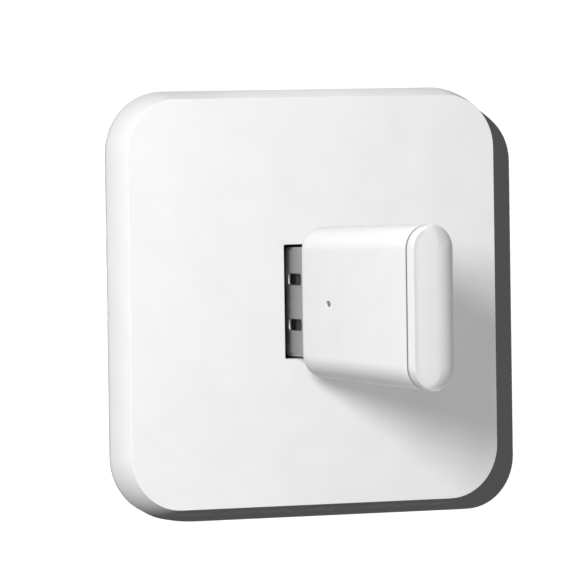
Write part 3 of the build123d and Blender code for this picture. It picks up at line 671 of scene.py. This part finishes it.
def makeStick(s):
    start, seam = stickStart, stickSeam
    halfWide = plugWide / 2 + s["plugClearance"]
    halfTall = plugTall / 2 + s["plugClearance"]

    def pocketRing(depth):
        # The plug's rectangle, with one point for each point of the stadium ring
        points = []
        for point in stickRing(0, start):
            x, z = point.x - portX, point.z
            scale = max(abs(x) / halfWide, abs(z) / halfTall)
            points.append(Vector((portX + x / scale, -depth, z / scale)))
        for sx, sz in squareCorners:
            corner = Vector((portX + sx * halfWide, -depth, sz * halfTall))
            nearest = min(range(len(points)), key=lambda i: (points[i] - corner).length)
            points[nearest] = corner
        return points

    rings = [pocketRing(start + s["endWall"]), pocketRing(start)]
    roll = s["plugEndRound"]
    rings.append(stickRing(roll + s["plugEndLand"], start))
    for angle in quarterTurn(5):
        rings.append(stickRing(roll * (1 - sin(angle)), start + roll * (1 - cos(angle))))
    for share in s["sideRings"]:
        rings.append(stickRing(0, start + roll + share * (seam - start - 2 * roll)))
    edge = s["seamRound"]
    for angle in quarterTurn(3):
        rings.append(stickRing(edge * (1 - cos(angle)), seam - edge * (1 - sin(angle))))
    rings.append(stickRing(s["wall"], seam))
    rings.append(stickRing(s["wall"], start + s["endWall"]))
    mesh = bmesh.new()
    joinRings(mesh, rings, loop=True)
    stick = finishPiece(mesh, "stick_housing", "stickWhite", "stick", ["dongle_body"])

    holeMesh = bmesh.new()
    flare = s["pinHoleFlare"]
    profile = [(flare, -s["cutOutside"]), (flare, 0), (flare / 3, flare / 3), (0, flare),
               (0, s["wall"] + s["cutInside"])]
    long, high = s["pinHoleLong"], s["pinHoleHigh"]
    closeEnds(holeMesh, joinRings(holeMesh, [ovalRing(long, high, grow, into) for grow, into in profile]))
    cutWith(stick, holeMesh, "pinHole")
    flattenShading(stick)


makeStick(stickSettings)
print("stick housing made")


# Nub on the reset plunger: it fills the pin hole to just under the surface
nubSettings = {
    "clearance": 0.05,
    "recess": 0.1,
    "edgeRound": 0.06,
    "crown": 0.01,
    "footGap": 0.02,
}


def makeNub(s):
    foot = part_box("reset_plunger")[0].x / mm - (portX - stickThickness / 2)
    long = stickSettings["pinHoleLong"] - 2 * s["clearance"]
    high = stickSettings["pinHoleHigh"] - 2 * s["clearance"]
    rings = [ovalRing(long, high, 0, foot + s["footGap"])]
    roll = s["edgeRound"]
    for angle in quarterTurn(4):
        rings.append(ovalRing(long, high, roll * (cos(angle) - 1), s["recess"] + roll * (1 - sin(angle))))
    rings.append(ovalRing(long, high, -high / 4, s["recess"] - s["crown"]))
    mesh = bmesh.new()
    closeEnds(mesh, joinRings(mesh, rings))
    finishPiece(mesh, "reset_nub", "plungerPlastic", "reset_button")


makeNub(nubSettings)
print("reset nub made")


# Stick cap: carries the taper on past the seam, with a softly crowned end and a skirt inside the housing
capSettings = {
    "bandFloor": 0.35,
    "nearRound": 0.02,
    "farReach": 2.5,
    "farDrop": 1.2,
    "crown": 0.12,
    "lipHeight": 0.07,
    "lipWidth": 0.34,
    "middleWidth": 0.02,
    "skirtLength": 1.8,
    "skirtGap": 0.05,
    "skirtWall": 0.6,
}


def makeCap(s):
    tip = -capLow.y / mm
    seam = stickSeam
    half = stickThickness / 2
    crown = s["crown"]
    edge = stickSettings["seamRound"]
    skirtOuter = stickSettings["wall"] + s["skirtGap"]
    skirtInner = skirtOuter + s["skirtWall"]
    skirtEnd = seam - s["skirtLength"]
    rings = [stickRing(skirtInner, seam + s["bandFloor"]), stickRing(skirtInner, skirtEnd)]
    rings += [stickRing(skirtOuter, skirtEnd), stickRing(skirtOuter, seam + seamGap)]
    for angle in quarterTurn(3):
        rings.append(stickRing(edge * (1 - sin(angle)), seam + seamGap + edge * (1 - cos(angle))))

    # The end's round is broad on the far side and crisp on the near side, with a low lip and a crown
    inset = half - s["middleWidth"]
    outline = stickRing(0, tip)
    centre = stickRing(inset, tip)
    rounds = []
    for point in outline:
        across = (point.x - portX + half) / (2 * half)
        share = across * across * (3 - 2 * across)
        reach = s["nearRound"] + (s["farReach"] - s["nearRound"]) * share
        drop = s["nearRound"] + (s["farDrop"] - s["nearRound"]) * share
        rounds.append((reach, drop))

    def endRing(share, angle=0.0):
        # From the outline (share 0) over the round and on to the middle line (share 1)
        points = []
        for point, middle, (reach, drop) in zip(outline, centre, rounds):
            inwards = (middle - point).normalized()
            rim = reach * (1 - cos(angle)) if share == 0 else reach + (inset - reach) * share
            rise = crown * (1 - ((half - rim) / half) ** 2)
            rise += s["lipHeight"] * max(0, 1 - rim / s["lipWidth"])
            depth = tip - crown - drop * (1 - sin(angle)) + rise
            place = point + inwards * rim
            points.append(Vector((place.x, -depth, place.z)))
        return points

    rings += [endRing(0, angle) for angle in quarterTurn(12)[:-1]]
    rings += [endRing(max(share, 1e-6), pi / 2) for share in evenly(0, 1, 8)]
    mesh = bmesh.new()
    closeEnds(mesh, joinRings(mesh, rings))
    cap = finishPiece(mesh, "stick_cap", "stickWhite", "stick", ["dongle_cap"])
    flattenShading(cap)


makeCap(capSettings)
print("stick cap made")


# Plug shell: folded sheet tube with two latch windows in each broad side
plugSettings = {
    "sheet": 0.3,
    "corner": 0.55,
    "tipRound": 0.13,
    "windowLength": 3.0,
    "windowHeight": 1.2,
    "windowCorner": 0.32,
    "windowPitch": 5.0,
    "windowFromPlate": 1.75,
    "windowRoll": 0.16,
    "cutOutside": 0.4,
    "cutInside": 0.3,
    "cutFlare": 1.2,
}


def windowCutter(s, depth, height):
    # Rings from one broad side of the plug to the other, with rolled edges at both
    half, roll = plugWide / 2, s["windowRoll"]
    stations = [(roll * s["cutFlare"], half + s["cutOutside"])]
    stations += [(roll * (1 - sin(angle)), half - roll * (1 - cos(angle))) for angle in quarterTurn(4)]
    stations += [(0, half - s["sheet"] - s["cutInside"])]
    rows = []
    for grow, out in stations + [(g, -o) for g, o in reversed(stations)]:
        outline = roundedRing(s["windowLength"] + 2 * grow, s["windowHeight"] + 2 * grow,
                              s["windowCorner"] + grow, 0, perCorner=5)
        rows.append([Vector((portX + out, -depth + p.x, height + p.z)) for p in outline])
    return rows


def makePlug(s):
    tip, rear = -plugHigh.y / mm, -plugLow.y / mm
    sheet, roll = s["sheet"], s["tipRound"]

    def tube(inset, depth):
        wide, tall = plugWide - 2 * inset, plugTall - 2 * inset
        return roundedRing(wide, tall, s["corner"] - inset, depth, portX, perCorner=7)

    rings = [tube(0, rear), tube(0, tip + roll)]
    for angle in quarterTurn(4)[1:]:
        rings.append(tube(roll * (1 - cos(angle)), tip + roll * (1 - sin(angle))))
    rings += [tube(sheet, tip), tube(sheet, rear)]
    mesh = bmesh.new()
    joinRings(mesh, rings, loop=True)
    plug = finishPiece(mesh, "plug_sleeve", "plugSteel", "stick", ["plug_shell"])
    cutMesh = bmesh.new()
    for side in (-1, 1):
        rows = windowCutter(s, plateFront + s["windowFromPlate"], side * s["windowPitch"] / 2)
        closeEnds(cutMesh, joinRings(cutMesh, rows))
    cutWith(plug, cutMesh, "windows")
    flattenShading(plug)


makePlug(plugSettings)
print("plug sleeve made")


# Plug core: the insulator with a deep channel under each window, which leaves a ledge on the stick's side
coreSettings = {
    "channelDeep": 1.3,
    "channelHigh": 1.5,
    "channelReach": 5.0,
    "channelDraft": 0.1,
    "ledgeFromPlate": 1.35,
    "cutOutside": 0.2,
}


def makeCore(s):
    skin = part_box("plug_insulator")[0].x / mm
    mesh = bmesh.new()
    mesh.from_mesh(frame["nodes"]["plug_insulator"].data)
    core = finishPiece(mesh, "plug_core", "plugPlastic", "stick", ["plug_insulator"])
    near = -plateFront - s["ledgeFromPlate"]
    far = near + s["channelReach"]
    high, draft = s["channelHigh"] / 2, s["channelDraft"]
    across = ((skin - s["cutOutside"], high + draft), (skin, high), (skin + s["channelDeep"], high - draft))
    cutMesh = bmesh.new()
    for side in (-1, 1):
        middle = side * plugSettings["windowPitch"] / 2
        rows = []
        for x, half in across:
            corners = ((near, half), (far, half), (far, -half), (near, -half))
            rows.append([Vector((x, y, middle + z)) for y, z in corners])
        closeEnds(cutMesh, joinRings(cutMesh, rows))
    cutWith(core, cutMesh, "channels")


makeCore(coreSettings)
print("plug core made")


# Contact pins: turned rods with a rounded nose, and a shoulder and a fine groove at the cup's floor
pinSettings = {
    "radius": 2.4,
    "noseRound": 1.8,
    "shankRadius": 2.1,
    "shoulderEdge": 0.12,
    "flangeThickness": 0.7,
    "flangeEdge": 0.15,
    "grooveDepth": 0.06,
    "grooveSlope": 0.08,
    "grooveFloor": 0.12,
    "grooveFromBase": 0.5,
}


def pinMiddle(nodeName):
    low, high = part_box(nodeName)
    return (low.x + high.x) / 2 / mm


def makePin(s, nodeName):
    low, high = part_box(nodeName)
    flange, flangeTop = (high.x - low.x) / 2 / mm, low.y / mm
    nose = high.y / mm
    cupFloor = baseHigh.y / mm
    radius, shank = s["radius"], s["shankRadius"]
    edge = s["flangeEdge"]
    flangeFoot = flangeTop + s["flangeThickness"]
    profile = [(0, flangeTop), (flange - edge, flangeTop), (flange, flangeTop + edge)]
    profile += [(flange, flangeFoot), (shank, flangeFoot), (shank, cupFloor)]
    shoulder = s["shoulderEdge"]
    profile += [(radius - shoulder, cupFloor), (radius, cupFloor + shoulder)]
    bottom = radius - s["grooveDepth"]
    grooveStart = cupFloor + s["grooveFromBase"]
    floorStart = grooveStart + s["grooveSlope"]
    floorEnd = floorStart + s["grooveFloor"]
    profile += [(radius, grooveStart), (bottom, floorStart), (bottom, floorEnd)]
    profile += [(radius, floorEnd + s["grooveSlope"])]
    roll = s["noseRound"]
    for angle in quarterTurn(8):
        profile.append((radius - roll + roll * cos(angle), nose - roll + roll * sin(angle)))
    profile.append((0, nose))
    mesh = bmesh.new()
    joinRings(mesh, turnedRings(pinMiddle(nodeName), profile))
    pin = finishPiece(mesh, nodeName + "_turned", "pinNickel", "adapter", [nodeName])
    flattenShading(pin)


pinNames = ("live_pin", "neutral_pin")
for pinName in pinNames:
    makePin(pinSettings, pinName)
print("contact pins made")


# Geometry Nodes helpers
def startTree(name, inputs):
    tree = bpy.data.node_groups.new(name, "GeometryNodeTree")
    tree.interface.new_socket("Geometry", in_out="INPUT", socket_type="NodeSocketGeometry")
    for label, value in inputs.items():
        kind = "NodeSocketInt" if isinstance(value, int) else "NodeSocketFloat"
        tree.interface.new_socket(label, in_out="INPUT", socket_type=kind)
    tree.interface.new_socket("Geometry", in_out="OUTPUT", socket_type="NodeSocketGeometry")
    source = tree.nodes.new("NodeGroupInput")
    return tree, source.outputs


def vectorOf(tree, x=0.0, y=0.0, z=0.0):
    return addNode(tree, "ShaderNodeCombineXYZ", {"X": x, "Y": y, "Z": z}).outputs["Vector"]


def makeShape(tree, kind, inputs):
    # Geometry nodes whose one result is a mesh or a set of copies
    return addNode(tree, "GeometryNode" + kind, inputs).outputs[0]


def makeRod(tree, sides, radius, height):
    return makeShape(tree, "MeshCylinder", {"Vertices": sides, "Radius": radius, "Depth": height})


def joinAll(tree, parts):
    join = tree.nodes.new("GeometryNodeJoinGeometry")
    for part in parts:
        tree.links.new(part, join.inputs["Geometry"])
    return join.outputs["Geometry"]


def runTree(tree, result, name, inputs, finishName, body):
    # Realizes the instances, sets the material and turns the tree's result into a plain mesh
    real = makeShape(tree, "RealizeInstances", {"Geometry": result})
    dressed = addNode(tree, "GeometryNodeSetMaterial", {"Geometry": real})
    dressed.inputs["Material"].default_value = finishes[finishName]
    out = tree.nodes.new("NodeGroupOutput")
    tree.links.new(dressed.outputs["Geometry"], out.inputs["Geometry"])
    start = addObject(name + "Start", bpy.data.meshes.new(name + "Start"))
    modifier = start.modifiers.new("build", "NODES")
    modifier.node_group = tree
    for socket in tree.interface.items_tree:
        if socket.in_out == "INPUT" and socket.name in inputs:
            modifier[socket.identifier] = inputs[socket.name]
    data = plainMesh(start, modifier)
    data.name = name
    bpy.data.objects.remove(start)
    piece = placePiece(data, name, finishName, body)
    markSharp(piece)


# Weld pegs of the cover, seen at the back as small domes in the flange's four holes, and the board's pillars
pegSettings = {
    "Peg spacing": 33.2 * mm,
    "Peg radius": 0.985 * mm,
    "Peg end": -0.5 * mm,
    "Dome height": 0.32 * mm,
    "Shoulder radius": 1.7 * mm,
    "Shoulder end": -1.6 * mm,
    "Pillar spacing": 20.647 * mm,
    "Pillar radius": 1.2 * mm,
    "Pillar end": 9.5 * mm,
    "Inner face": -3.58 * mm,
    "Sides": 32,
    "Dome rings": 12,
}


def makePegs(s):
    tree, given = startTree("coverPegs", s)

    def rod(radius, end):
        # A rod along Z from the cover's inner face to its end
        length = calculate(tree, "SUBTRACT", end, given["Inner face"])
        shape = makeRod(tree, given["Sides"], radius, length)
        place = calculate(tree, "MULTIPLY_ADD", length, 0.5, given["Inner face"])
        return makeShape(tree, "Transform", {"Geometry": shape, "Translation": vectorOf(tree, z=place)})

    def atCorners(spacing, shape):
        corners = {"Size X": spacing, "Size Y": spacing, "Vertices X": 2, "Vertices Y": 2}
        grid = makeShape(tree, "MeshGrid", corners)
        return makeShape(tree, "InstanceOnPoints", {"Points": grid, "Instance": shape})

    sphere = {"Segments": given["Sides"], "Rings": given["Dome rings"], "Radius": given["Peg radius"]}
    ball = makeShape(tree, "MeshUVSphere", sphere)
    squash = vectorOf(tree, 1.0, 1.0, calculate(tree, "DIVIDE", given["Dome height"], given["Peg radius"]))
    pegEnd = vectorOf(tree, z=given["Peg end"])
    dome = makeShape(tree, "Transform", {"Geometry": ball, "Translation": pegEnd, "Scale": squash})
    peg = joinAll(tree, [rod(given["Peg radius"], given["Peg end"]), dome,
                         rod(given["Shoulder radius"], given["Shoulder end"])])
    pillar = rod(given["Pillar radius"], given["Pillar end"])
    both = joinAll(tree, [atCorners(given["Peg spacing"], peg), atCorners(given["Pillar spacing"], pillar)])
    turned = makeShape(tree, "Transform", {"Geometry": both, "Rotation": (-pi / 2, 0, 0)})
    runTree(tree, turned, "cover_pegs", s, "coverWhite", "adapter")


makePegs(pegSettings)
print("weld pegs and pillars made")


# Ejector marks: shallow discs round the cup's floor, left by the mould's pins
markSettings = {
    "Ring radius": 13.2 * mm,
    "Mark radius": 1.1 * mm,
    "Mark height": 0.05 * mm,
    "Inner share": 0.86,
    "Inner rise": 1.5,
    "Floor": 16.5 * mm,
    "Marks": 4,
    "Sides": 28,
}


def makeMarks(s):
    tree, given = startTree("ejectorMarks", s)
    ring = makeShape(tree, "MeshCircle", {"Vertices": given["Marks"], "Radius": given["Ring radius"]})
    innerRadius = calculate(tree, "MULTIPLY", given["Mark radius"], given["Inner share"])
    innerHeight = calculate(tree, "MULTIPLY", given["Mark height"], given["Inner rise"])
    mark = joinAll(tree, [makeRod(tree, given["Sides"], given["Mark radius"], given["Mark height"]),
                          makeRod(tree, given["Sides"], innerRadius, innerHeight)])
    spots = makeShape(tree, "InstanceOnPoints", {"Points": ring, "Instance": mark})
    onFloor = {"Translation": vectorOf(tree, y=given["Floor"]), "Rotation": (pi / 2, pi / 4, 0)}
    turned = makeShape(tree, "Transform", {"Geometry": spots, **onFloor})
    runTree(tree, turned, "ejector_marks", s, "baseWhite", "adapter")


makeMarks(markSettings)
print("ejector marks made")


# Collars moulded round the pins on the cup's floor
collarSettings = {
    "innerRadius": 2.43,
    "innerEdge": 0.06,
    "footRadius": 3.5,
    "footBlend": 0.1,
    "footRise": 0.03,
    "footTop": 0.12,
    "sunk": 0.1,
    "topRadius": 3.1,
    "topEdge": 0.08,
    "height": 0.5,
}


def makeCollars(s):
    floor = baseHigh.y / mm
    top = floor + s["height"]
    inner, foot, blend = s["innerRadius"], s["footRadius"], s["footBlend"]
    profile = [(inner, floor - s["sunk"]), (foot + blend, floor - s["sunk"]), (foot + blend, floor)]
    profile += [(foot, floor + s["footRise"]), (foot - blend, floor + s["footTop"])]
    profile += [(s["topRadius"], top - s["topEdge"]), (s["topRadius"] - s["topEdge"], top)]
    profile += [(inner + s["innerEdge"], top), (inner, top - s["innerEdge"])]
    mesh = bmesh.new()
    for pinName in pinNames:
        joinRings(mesh, turnedRings(pinMiddle(pinName), profile), loop=True)
    finishPiece(mesh, "pin_collars", "baseWhite", "adapter")


makeCollars(collarSettings)
print("pin collars made")


# Stage: the wall behind the plate, open where the cup goes through it, and a floor below
stageSettings = {
    "wallReach": 600.0,
    "holeSide": 43.0,
    "holeCorner": 3.5,
    "wallColour": 0.07,
    "floorColour": 0.01,
    "cameraColour": 0.98,
    "shadowLift": 0.062,
    "floorHeight": -250.0,
    "floorReach": 1200.0,
}


def seenDirectly(tree, rays):
    # One for camera rays and for what shows in gloss or glass, none for the light thrown on the object
    mirrored = calculate(tree, "MAXIMUM", rays["Is Camera Ray"], rays["Is Glossy Ray"])
    return calculate(tree, "MAXIMUM", mirrored, rays["Is Transmission Ray"])


def stageMaterial(name, colour, s):
    # Dark as the object's light meets it, bright to the camera, and clear where it is seen from behind
    material = bpy.data.materials.new(name)
    material.use_nodes = True
    tree = material.node_tree
    tree.nodes.clear()
    rays = tree.nodes.new("ShaderNodeLightPath").outputs
    backfacing = tree.nodes.new("ShaderNodeNewGeometry").outputs["Backfacing"]

    def shader(kind, inputs=None):
        return addNode(tree, "ShaderNode" + kind, inputs).outputs[0]

    plain = shader("BsdfDiffuse", {"Color": shade((colour,) * 3)})
    painted = shader("BsdfDiffuse", {"Color": shade((s["cameraColour"],) * 3)})
    faint = shader("Emission", {"Strength": s["shadowLift"]})
    bright = shader("AddShader", {0: painted, 1: faint})
    clear = shader("BsdfTransparent")
    lit = shader("MixShader", {0: seenDirectly(tree, rays), 1: plain, 2: bright})
    behind = calculate(tree, "MULTIPLY", backfacing, rays["Is Camera Ray"])
    shown = shader("MixShader", {0: behind, 1: lit, 2: clear})
    addNode(tree, "ShaderNodeOutputMaterial", {"Surface": shown})
    return material


def stagePiece(mesh, name, material):
    data = storeMesh(mesh, name)
    data.materials.append(material)
    piece = addObject(name, data)
    return piece


def makeStage(s):
    mesh = bmesh.new()
    inside = roundedRing(s["holeSide"], s["holeSide"], s["holeCorner"], 0.0)
    outside = []
    for point in inside:
        stretch = s["wallReach"] / max(abs(point.x), abs(point.z))
        outside.append(Vector((point.x * stretch, 0, point.z * stretch)))
    joinRings(mesh, [inside, outside])
    for face in mesh.faces:
        face.normal_update()
        if face.normal.y > 0:
            face.normal_flip()
    wall = stagePiece(mesh, "wall", stageMaterial("wallPaint", s["wallColour"], s))
    mesh = bmesh.new()
    far = s["floorReach"]
    corners = ((-far, -far), (far, -far), (far, far), (-far, far))
    mesh.faces.new([mesh.verts.new(Vector((x, y, s["floorHeight"])) * mm) for x, y in corners])
    floor = stagePiece(mesh, "floor", stageMaterial("floorPaint", s["floorColour"], s))
    return [wall, floor]


stagePieces = makeStage(stageSettings)
print("wall and floor made")


# World: white to the camera and in reflections, faint as light
worldSettings = {"ambient": 0.02}


def makeWorld(s):
    world = bpy.data.worlds.new("room")
    bpy.context.scene.world = world
    world.use_nodes = True
    tree = world.node_tree
    rays = tree.nodes.new("ShaderNodeLightPath").outputs
    level = spread(tree, seenDirectly(tree, rays), s["ambient"], 1.0, 0.0, 1.0)
    background = tree.nodes["Background"]
    background.inputs["Color"].default_value = (1, 1, 1, 1)
    tree.links.new(level, background.inputs["Strength"])


makeWorld(worldSettings)
bpy.context.scene.view_settings.view_transform = "Standard"
print("world made")


# Lamps: soft and hard ones from the left, a fill for the stick, and others above, behind and for the floor
lampSettings = {
    "softAzimuth": -36.0,  # angles in degrees, places and sizes in metres
    "softElevation": 12.5,
    "softDistance": 0.22,
    "softRadius": 0.027,
    "softPower": 0.314,
    "hardFrom": (-0.657, -0.724, 0.222),
    "hardAngle": 0.6,
    "hardStrength": 1.77,
    "wallStrength": 4.8,
    "stickAzimuth": -51.0,
    "stickElevation": 32.5,
    "stickDistance": 0.4,
    "stickRadius": 0.064,
    "stickPower": 1.265,
    "fillFrom": (0.55, 0.05, -0.83),
    "fillStrength": 1.1,
    "fillAngle": 40.0,
    "topPlace": (0.002, -0.0035, 0.06),
    "topRadius": 0.01,
    "topPower": 0.0056,
    "rearPlaces": {"rearLampRight": (0.25, 0.45, 0.30), "rearLampLeft": (-0.30, 0.40, 0.10)},
    "rearRadius": 0.1,
    "rearPower": 1.1,
    "rimPlace": (0.1, 0.49, 0.0),
    "rimRadius": 0.03,
    "rimPower": 0.9,
    "floorAngle": 0.526,
    "floorStrength": 2.2,
}


def placeLamp(name, kind, towards, place, energy):
    # Towards is the direction from the object to the lamp
    data = bpy.data.lights.new(name, kind)
    data.energy = energy
    lamp = addObject(name, data)
    turn = Vector(towards).to_track_quat("Z", "Y").to_matrix().to_4x4()
    lamp.matrix_world = Matrix.Translation(Vector(place)) @ turn
    lamp.visible_camera = False
    return lamp


def diskLamp(name, towards, place, radius, power):
    lamp = placeLamp(name, "AREA", towards, place, power)
    lamp.data.shape = "DISK"
    lamp.data.size = 2 * radius
    return lamp


def sunLamp(name, towards, angle, strength):
    lamp = placeLamp(name, "SUN", towards, (0, 0, 0), strength)
    lamp.data.angle = radians(angle)
    return lamp


def softLamp(name, s, key):
    towards = directionOf(radians(s[key + "Azimuth"]), radians(s[key + "Elevation"]))
    centre = Vector((0, -plateFront, 0)) * mm
    place = centre + towards * s[key + "Distance"]
    return diskLamp(name, towards, place, s[key + "Radius"], s[key + "Power"])


def excludeGroup(name, members):
    group = bpy.data.collections.new(name)
    for member in members:
        group.objects.link(member)
    for link in group.collection_objects:
        link.light_linking.link_state = "EXCLUDE"
    return group


def leaveOut(lamp, unlit, clear=()):
    # The lamp doesn't light the unlit pieces, and the clear ones throw no shadow in its light
    lamp.light_linking.receiver_collection = excludeGroup(lamp.name + "Unlit", unlit)
    if clear:
        lamp.light_linking.blocker_collection = excludeGroup(lamp.name + "Clear", clear)


def makeLamps(s):
    pieces = [o for o in bpy.data.objects if o.type == "MESH"]
    stickPieces = [o for o in pieces if o.get("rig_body") in ("stick", "reset_button")]
    otherPieces = [o for o in pieces if o not in stickPieces]
    objectPieces = [o for o in pieces if o not in stagePieces]
    wall = stagePieces[0]
    for piece in stickPieces + [cover]:
        # The stick and the plate throw no light back on each other
        piece.visible_diffuse = False

    leaveOut(softLamp("softLamp", s, "soft"), stickPieces + stagePieces)
    leaveOut(softLamp("stickLamp", s, "stick"), otherPieces)
    hard = sunLamp("hardLamp", s["hardFrom"], s["hardAngle"], s["hardStrength"])
    leaveOut(hard, stagePieces, stickPieces)
    onWall = sunLamp("wallLamp", s["hardFrom"], s["hardAngle"], s["wallStrength"])
    leaveOut(onWall, objectPieces, stickPieces)
    fill = sunLamp("fillLamp", s["fillFrom"], s["fillAngle"], s["fillStrength"])
    leaveOut(fill, otherPieces, stagePieces)
    top = diskLamp("topLamp", (0, 0, 1), s["topPlace"], s["topRadius"], s["topPower"])
    leaveOut(top, stickPieces + stagePieces, stagePieces)
    for name, place in s["rearPlaces"].items():
        diskLamp(name, place, place, s["rearRadius"], s["rearPower"])
    rim = diskLamp("rimLamp", s["rimPlace"], s["rimPlace"], s["rimRadius"], s["rimPower"])
    leaveOut(rim, stickPieces, stagePieces)
    onFloor = sunLamp("floorLamp", (0, 0, 1), s["floorAngle"], s["floorStrength"])
    leaveOut(onFloor, objectPieces + [wall])


makeLamps(lampSettings)
print("lamps made")
